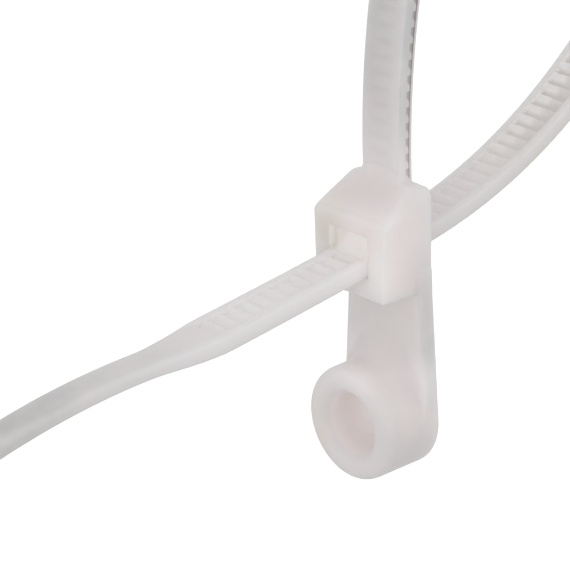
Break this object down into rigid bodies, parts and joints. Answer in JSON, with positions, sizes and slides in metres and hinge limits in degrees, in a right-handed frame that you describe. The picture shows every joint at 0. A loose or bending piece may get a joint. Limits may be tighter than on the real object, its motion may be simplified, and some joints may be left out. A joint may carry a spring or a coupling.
{
  "type": "eyelet mount cable tie",
  "caption": "Moulded nylon cable tie closed in a loop, its narrow tail drawn through the locking head, with a tab and a round screw eyelet below the head for fixing a bundle to a panel.",
  "frame": {"origin": "on the axis of the eyelet's bore, in the plane of the tie's flat back", "axes": "+X across the strap, -Y along the bore out of the front of the eyelet, +Z from the eyelet up to the head"},
  "size_m": [0.0104, 0.0936, 0.0766],
  "materials": {
    "nylon": "satin, milky natural nylon"
  },
  "bodies": {
    "root": {"cable_tie": "nylon"}
  },
  "joints": []
}
